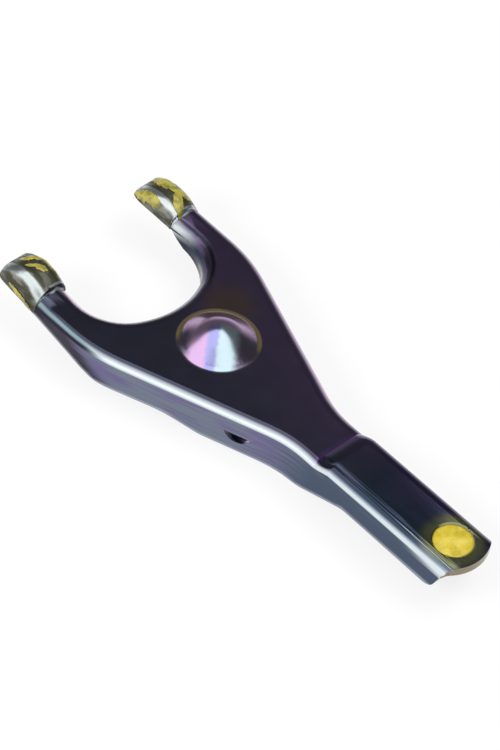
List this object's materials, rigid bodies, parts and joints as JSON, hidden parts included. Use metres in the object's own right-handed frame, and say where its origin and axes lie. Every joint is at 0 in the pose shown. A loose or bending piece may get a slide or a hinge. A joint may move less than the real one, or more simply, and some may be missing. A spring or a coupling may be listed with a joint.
{
  "type": "clutch fork",
  "caption": "Pressed steel clutch release fork: a U of padded prongs, a ball-stud dome and a channel arm with a greased pushrod seat.",
  "frame": {"origin": "on the pivot dome's axis, level with the upper face of the body's web", "axes": "+X along the arm towards the pushrod seat, +Y towards one prong (the fork is symmetric about Y = 0), +Z out of the domed face"},
  "size_m": [0.1785, 0.0704, 0.0217],
  "materials": {
    "plated_steel": "dark iridescent chromate plating, glossy, worn grey at the pads",
    "grease": "wet yellow assembly grease"
  },
  "bodies": {
    "root": {"clutch_fork": "plated_steel"}
  },
  "joints": []
}
